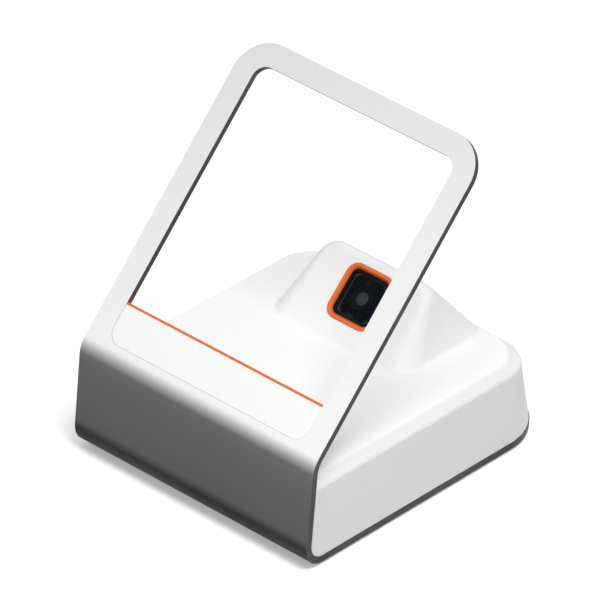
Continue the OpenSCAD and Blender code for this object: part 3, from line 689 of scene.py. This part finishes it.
def finish(name, colour, roughness, grain=2000.0, tint=0.04, bump=0.00002, worn=None,
           metallic=0.0, gloss=0.5, coat=0.0, alpha=1.0):
    """A finish: base colour with grain, patchy roughness, a bump and worn edges."""
    material = bpy.data.materials.new(name)
    material.use_nodes = True
    tree = material.node_tree
    shader = tree.nodes["Principled BSDF"]
    coords = tree.nodes.new("ShaderNodeTexCoord")
    fine = add_noise(tree, coords, grain)
    patch = add_noise(tree, coords, PATCH_SCALE, PATCH_DETAIL)
    dark = tuple(c * (1 - tint) for c in colour)
    light = tuple(min(1.0, c * (1 + tint)) for c in colour)
    base = add_mix(tree, dark, light, add_fade(tree, fine, GRAIN_SPAN))
    if worn is not None:
        base = add_mix(tree, base, worn, edge_mask(tree))
    link_nodes(tree, base, MIX_RESULT, shader, "Base Color")
    low, high = (min(1.0, roughness * share) for share in ROUGH_SHARES)
    rough = add_range(tree, patch, "Fac", *PATCH_SPAN, low, high)
    link_nodes(tree, rough, 0, shader, "Roughness")
    add_relief(tree, shader, fine, bump)
    shader.inputs["Metallic"].default_value = metallic
    shader.inputs["Specular IOR Level"].default_value = gloss
    shader.inputs["Coat Weight"].default_value = coat
    shader.inputs["Alpha"].default_value = alpha
    return material


def painted_shade_and_highlight_by_height(tree, coords, tone):
    """The sheet's grey, which runs with height: painted shade and painted highlight."""
    split = tree.nodes.new("ShaderNodeSeparateXYZ")
    link_nodes(tree, coords, "Object", split, 0)
    rise = tree.nodes.new("ShaderNodeMapRange")
    rise.inputs["From Max"].default_value = SHEET_TOP * MM
    link_nodes(tree, split, "Z", rise, "Value")
    ramp = tree.nodes.new("ShaderNodeValToRGB")
    link_nodes(tree, rise, 0, ramp, "Fac")
    stops = ramp.color_ramp.elements
    while len(stops) < len(SHEET_PAINTED_SHADE_AND_HIGHLIGHT):
        stops.new(1.0)
    for stop, (height, level) in zip(stops, SHEET_PAINTED_SHADE_AND_HIGHLIGHT):
        stop.position = height / SHEET_TOP
        stop.color = (level * tone,) * 3 + (1,)
    return ramp


def sheet_finish_with_painted_shade_and_highlight(name, tone, roughness, gloss):
    """Blasted metal whose tone runs with height as painted shade and painted highlight: light on the
    ring and brightest at its bend, dark below its bend.
    """
    material = finish(name, (1.0, 1.0, 1.0), roughness, grain=SHEET_GRAIN, tint=0.0,
                      bump=0.00003, gloss=gloss)
    tree = material.node_tree
    coords = tree.nodes.new("ShaderNodeTexCoord")
    fade = add_fade(tree, add_noise(tree, coords, SHEET_GRAIN), GRAIN_SPAN)
    speckle = add_mix(tree, (SHEET_SPECKLE,) * 3, (1.0, 1.0, 1.0), fade)
    grain = tree.nodes.new("ShaderNodeMix")
    grain.data_type = "RGBA"
    grain.blend_type = "MULTIPLY"
    grain.inputs[0].default_value = 1.0
    link_nodes(tree, painted_shade_and_highlight_by_height(tree, coords, tone), "Color", grain, MIX_FIRST)
    link_nodes(tree, speckle, MIX_RESULT, grain, MIX_SECOND)
    link_nodes(tree, grain, MIX_RESULT, tree.nodes["Principled BSDF"], "Base Color")
    return material


def make_finishes():
    """The finish of each material slot."""
    made = {name: sheet_finish_with_painted_shade_and_highlight(name, *look) for name, look in SHEET_FINISHES.items()}
    made.update({name: finish(name, **look) for name, look in FINISHES.items()})
    return made


# Pieces made from a CAD node's shape: faces joined, edges rounded, corners shaded smoothly

EDGE_ROUNDING = {
    "front_panel": 0.08, "accent_strip": 0.08, "panel_tape": 0.04,
    "scan_window": 0.12, "window_gasket": 0.08, "light_shroud": 0.15, "engine_bracket": 0.15,
    "camera_board": 0.08, "image_sensor": 0.08, "lens_barrel": 0.2, "front_lens": 0.06,
    "illumination_lights": 0.1, "engine_screws": 0.1, "flex_connectors": 0.12,
    "flex_cable": 0.04, "main_board": 0.12, "processor_shield": 0.25, "power_parts": 0.2,
    "buzzer": 0.3, "usb_socket": 0.08, "board_standoffs": 0.15, "board_screws": 0.1,
    "ballast_plate": 0.4, "ballast_screws": 0.1, "housing_screws": 0.1, "rubber_feet": 0.25,
    "metal_frame": 0.22,
}
SHARP_ANGLE = math.radians(38)
CAD_FLAT_ANGLE = math.radians(0.4)
ROUNDING_SEGMENTS = 3
# How closely a face of the sheet has to lie to its broad sides, or else is a cut edge
BROAD_SIDE = 0.985
CUT_EDGE = 0.25
# What tells the base plate from the front wall: a margin over its top and its start in y
PLATE_MARGIN = 0.1
PLATE_FRONT = 10.0


def smooth_piece(name, mesh, weight=50):
    """A piece with smooth faces, sharp edges kept and normals led by its larger faces."""
    mesh.polygons.foreach_set("use_smooth", [True] * len(mesh.polygons))
    mesh.set_sharp_from_angle(angle=SHARP_ANGLE)
    piece = link(name, mesh)
    even = piece.modifiers.new("even_normals", "WEIGHTED_NORMAL")
    even.keep_sharp = True
    even.weight = weight
    return piece


def rounded_copy(node, width):
    """A copy of a CAD node's mesh with its flat faces joined and its edges rounded."""
    mesh = frame["nodes"][node].data.copy()
    mesh.name = node + "_dressed"
    mesh.materials.clear()
    bm = bmesh.new()
    bm.from_mesh(mesh)
    bmesh.ops.remove_doubles(bm, verts=bm.verts, dist=SEAM)
    bmesh.ops.dissolve_limit(bm, angle_limit=CAD_FLAT_ANGLE, verts=bm.verts, edges=bm.edges)
    sharp = [e for e in bm.edges
             if len(e.link_faces) == 2 and e.calc_face_angle(0.0) > SHARP_ANGLE]
    bmesh.ops.bevel(bm, geom=sharp, offset=width * MM, segments=ROUNDING_SEGMENTS, profile=0.5,
                    affect="EDGES", clamp_overlap=True)
    bm.to_mesh(mesh)
    bm.free()
    return smooth_piece(node + "_dressed", mesh, weight=100)


def sheet_zone(face):
    """0 on the sheet's broad faces, 1 on its cut edges, 2 on the rounding between them; the cut
    edges take painted shade and the roundings a painted highlight.
    """
    _, y, z = face.center / MM
    normal = face.normal
    y += FRONT_SHIFT
    along = y * math.cos(RING_TILT) + (z - RING_Z) * math.sin(RING_TILT)
    if z > RING_Z and along > BEND_REACH:
        flat = abs(normal.z * math.cos(RING_TILT) - normal.y * math.sin(RING_TILT))
    elif z < PLATE_TOP + PLATE_MARGIN and y > PLATE_FRONT:
        flat = abs(normal.z)
    else:
        flat = math.hypot(normal.y, normal.z)
    if flat > BROAD_SIDE:
        return 0
    return 1 if flat < CUT_EDGE else 2


def add_bezel():
    """The window's bezel: a rounded lip that falls to the window on a slope."""
    rows = [rounded_outline([h - inset for h in BEZEL_HALF], max(BEZEL_R - inset, BEZEL_MIN_R),
                            turns=16)
            for inset, _ in BEZEL_ROWS]
    place = face_place()
    count = len(rows[0])
    points = [place @ Vector((x * MM, y * MM, z * MM))
              for row, (_, z) in zip(rows, BEZEL_ROWS) for x, y in row]
    faces = []
    for k in range(len(rows)):
        here, there = k * count, (k + 1) % len(rows) * count
        faces += [[here + i, here + (i + 1) % count, there + (i + 1) % count, there + i]
                  for i in range(count)]
    name = "window_bezel_dressed"
    return smooth_piece(name, mesh_of(name, points, faces))


def add_sheet(finishes):
    """The bent sheet, with its own finish on its broad faces, cut edges and roundings: painted shade
    on the cut edges and a painted highlight on the roundings.
    """
    piece = rounded_copy("metal_frame", EDGE_ROUNDING["metal_frame"])
    for slot in ("sheet_metal", "sheet_edge_painted_shade", "sheet_bevel_painted_highlight"):
        piece.data.materials.append(finishes[slot])
    for face in piece.data.polygons:
        face.material_index = sheet_zone(face)
    return piece


def seen_directly(tree):
    """One for the camera's rays and for those of mirrors and glass, nought for other light."""
    rays = tree.nodes.new("ShaderNodeLightPath")
    source, output = rays, "Is Camera Ray"
    for other in ("Is Glossy Ray", "Is Transmission Ray"):
        either = tree.nodes.new("ShaderNodeMath")
        either.operation = "MAXIMUM"
        link_nodes(tree, source, output, either, 0)
        link_nodes(tree, rays, other, either, 1)
        source, output = either, 0
    return source


def add_floor():
    """A pale floor that runs past the view on all sides."""
    corners = [(x * FLOOR_HALF, y * FLOOR_HALF, 0)
               for x, y in ((-1, -1), (1, -1), (1, 1), (-1, 1))]
    floor = link("floor", mesh_of("floor", corners, [(0, 1, 2, 3)]))
    paper = finish("floor_paper", (1.0, 1.0, 1.0), 0.9, grain=120.0, tint=0.0, bump=0.0,
                   gloss=0.0)
    tree = paper.node_tree
    shader = tree.nodes["Principled BSDF"]
    white = shader.inputs["Base Color"].links[0].from_node
    direct = seen_directly(tree)
    grey = add_mix(tree, (FLOOR_BOUNCE,) * 3, white, direct)
    link_nodes(tree, grey, MIX_RESULT, shader, "Base Color")
    lift = add_mix(tree, (0.0, 0.0, 0.0), (1.0, 1.0, 1.0), direct)
    link_nodes(tree, lift, MIX_RESULT, shader, "Emission Color")
    shader.inputs["Emission Strength"].default_value = FLOOR_LIFT
    floor.data.materials.append(paper)


def add_sky():
    """An even sky, white where the camera or a reflection sees it."""
    world = bpy.data.worlds.new("world")
    bpy.context.scene.world = world
    world.use_nodes = True
    tree = world.node_tree
    sky = tree.nodes["Background"]
    way = tree.nodes.new("ShaderNodeTexCoord")
    split = tree.nodes.new("ShaderNodeSeparateXYZ")
    link_nodes(tree, way, "Generated", split, 0)
    shade = tree.nodes.new("ShaderNodeMapRange")
    for socket, value in zip(("From Min", "From Max", "To Min", "To Max"), (-1, 1, *SKY_LEVELS)):
        shade.inputs[socket].default_value = value
    link_nodes(tree, split, "Y", shade, "Value")
    link_nodes(tree, shade, 0, sky, "Color")
    backdrop = tree.nodes.new("ShaderNodeBackground")
    blend = tree.nodes.new("ShaderNodeMixShader")
    link_nodes(tree, seen_directly(tree), 0, blend, 0)
    link_nodes(tree, sky, 0, blend, 1)
    link_nodes(tree, backdrop, 0, blend, 2)
    link_nodes(tree, blend, 0, tree.nodes["World Output"], "Surface")


def add_lamp():
    """A broad soft box that points at the part."""
    lamp = bpy.data.lights.new("soft_box", "AREA")
    lamp.shape = "DISK"
    lamp.size = LAMP_SIZE
    lamp.energy = LAMP_POWER
    box = bpy.data.objects.new("soft_box", lamp)
    place = Vector(LAMP_PLACE)
    turn = place.to_track_quat("Z", "Y").to_matrix().to_4x4()
    box.matrix_world = Matrix.Translation(place) @ turn
    bpy.context.scene.collection.objects.link(box)


bpy.context.scene.view_settings.view_transform = "Standard"
add_camera()
add_sky()
add_lamp()
add_floor()
finishes = make_finishes()
slots = {entry["node"]: entry["material_slot"] for entry in frame["record"]["subparts"]}

skin = add_housing()
skin.data.materials.clear()
skin.data.materials.append(finishes["housing_white"])
bezel = add_bezel()
bezel.data.materials.append(finishes["accent_orange"])
pieces = {"housing": skin, "metal_frame": add_sheet(finishes), "window_bezel": bezel}
for node, width in EDGE_ROUNDING.items():
    if node not in pieces:
        pieces[node] = rounded_copy(node, width)
        pieces[node].data.materials.append(finishes[slots[node]])
for node, piece in pieces.items():
    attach(piece, "root")
    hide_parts(node)
